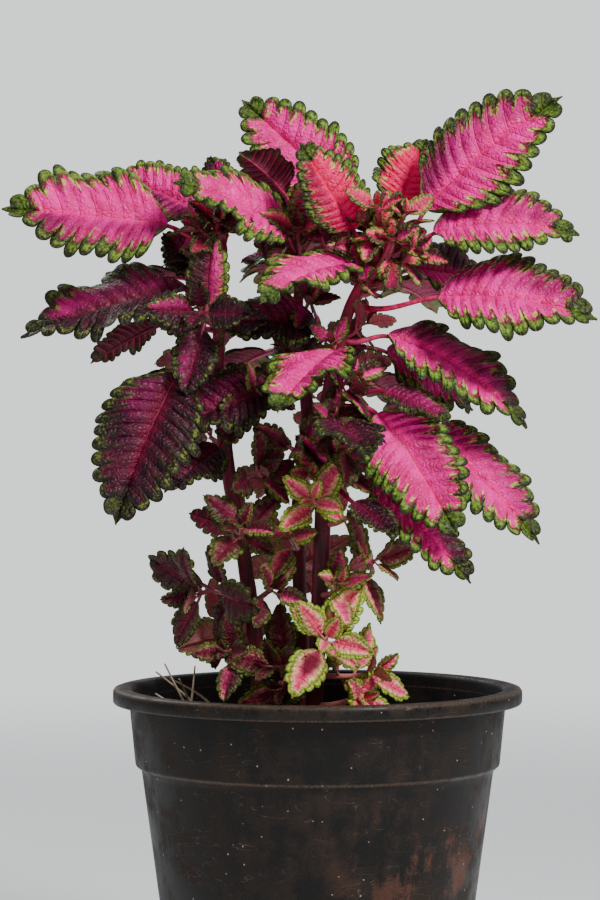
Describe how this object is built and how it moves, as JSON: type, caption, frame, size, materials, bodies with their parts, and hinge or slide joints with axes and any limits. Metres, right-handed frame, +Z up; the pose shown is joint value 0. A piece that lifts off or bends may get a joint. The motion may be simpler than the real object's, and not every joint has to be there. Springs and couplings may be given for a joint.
{
  "type": "potted coleus",
  "caption": "Coleus bedding plant with square burgundy stems and pink scalloped leaves edged in green, growing in a round tapered nursery pot filled with soil.",
  "frame": {"origin": "centre of the flat base of the pot", "axes": "+Z up along the pot's axis, -Y the side the plant is seen from, +X to its right"},
  "size_m": [0.3561, 0.2532, 0.5949],
  "materials": {
    "pot": "matte black plastic with a dry film of dust",
    "soil": "crumbly moist potting mix",
    "stem": "satin burgundy, green and woody underneath",
    "leaf": "satin leaf, pink inside a green and purple-brown edge",
    "young_leaf": "satin leaf, salmon and cream inside a yellow-green edge"
  },
  "bodies": {
    "root": {"pot": "pot", "soil": "soil", "stem_right": "stem", "stem_middle": "stem", "stem_left": "stem", "crown_left": "young_leaf", "crown_middle": "young_leaf", "crown_right": "young_leaf", "leaf_centre_cup": "leaf", "leaf_centre_front": "leaf", "leaf_centre_high": "leaf", "leaf_left_back_high": "leaf", "leaf_left_back_low": "leaf", "leaf_left_crown_behind": "leaf", "leaf_left_crown_big": "leaf", "leaf_left_crown_small": "leaf", "leaf_left_hanging": "leaf", "leaf_left_inner": "leaf", "leaf_left_low": "leaf", "leaf_left_side": "leaf", "leaf_left_side_small": "leaf", "leaf_middle_back_high": "leaf", "leaf_middle_back_left": "leaf", "leaf_middle_back_low": "leaf", "leaf_middle_centre": "leaf", "leaf_middle_crown_back": "leaf", "leaf_middle_crown_dark": "leaf", "leaf_middle_front_left": "leaf", "leaf_middle_left": "leaf", "leaf_middle_right": "leaf", "leaf_right_back_high": "leaf", "leaf_right_back_low": "leaf", "leaf_right_crown_back": "leaf", "leaf_right_crown_front": "leaf", "leaf_right_crown_right": "leaf", "leaf_right_crown_up": "leaf", "leaf_right_front_dark": "leaf", "leaf_right_front_low": "leaf", "leaf_right_hanging": "leaf", "leaf_right_long": "leaf", "leaf_right_low": "leaf", "leaf_right_lowest": "leaf", "leaf_right_side_back": "leaf", "leaf_right_side_big": "leaf", "leaf_right_side_high": "leaf", "leaf_right_small": "leaf", "shoot_centre_low": "young_leaf", "shoot_centre_mid": "young_leaf", "shoot_left_back": "young_leaf", "shoot_left_high": "young_leaf", "shoot_left_low": "young_leaf", "shoot_left_mid": "young_leaf", "shoot_middle_back": "young_leaf", "shoot_right_low_front": "young_leaf", "shoot_right_low_side": "young_leaf", "shoot_right_mid": "young_leaf"}
  },
  "joints": []
}
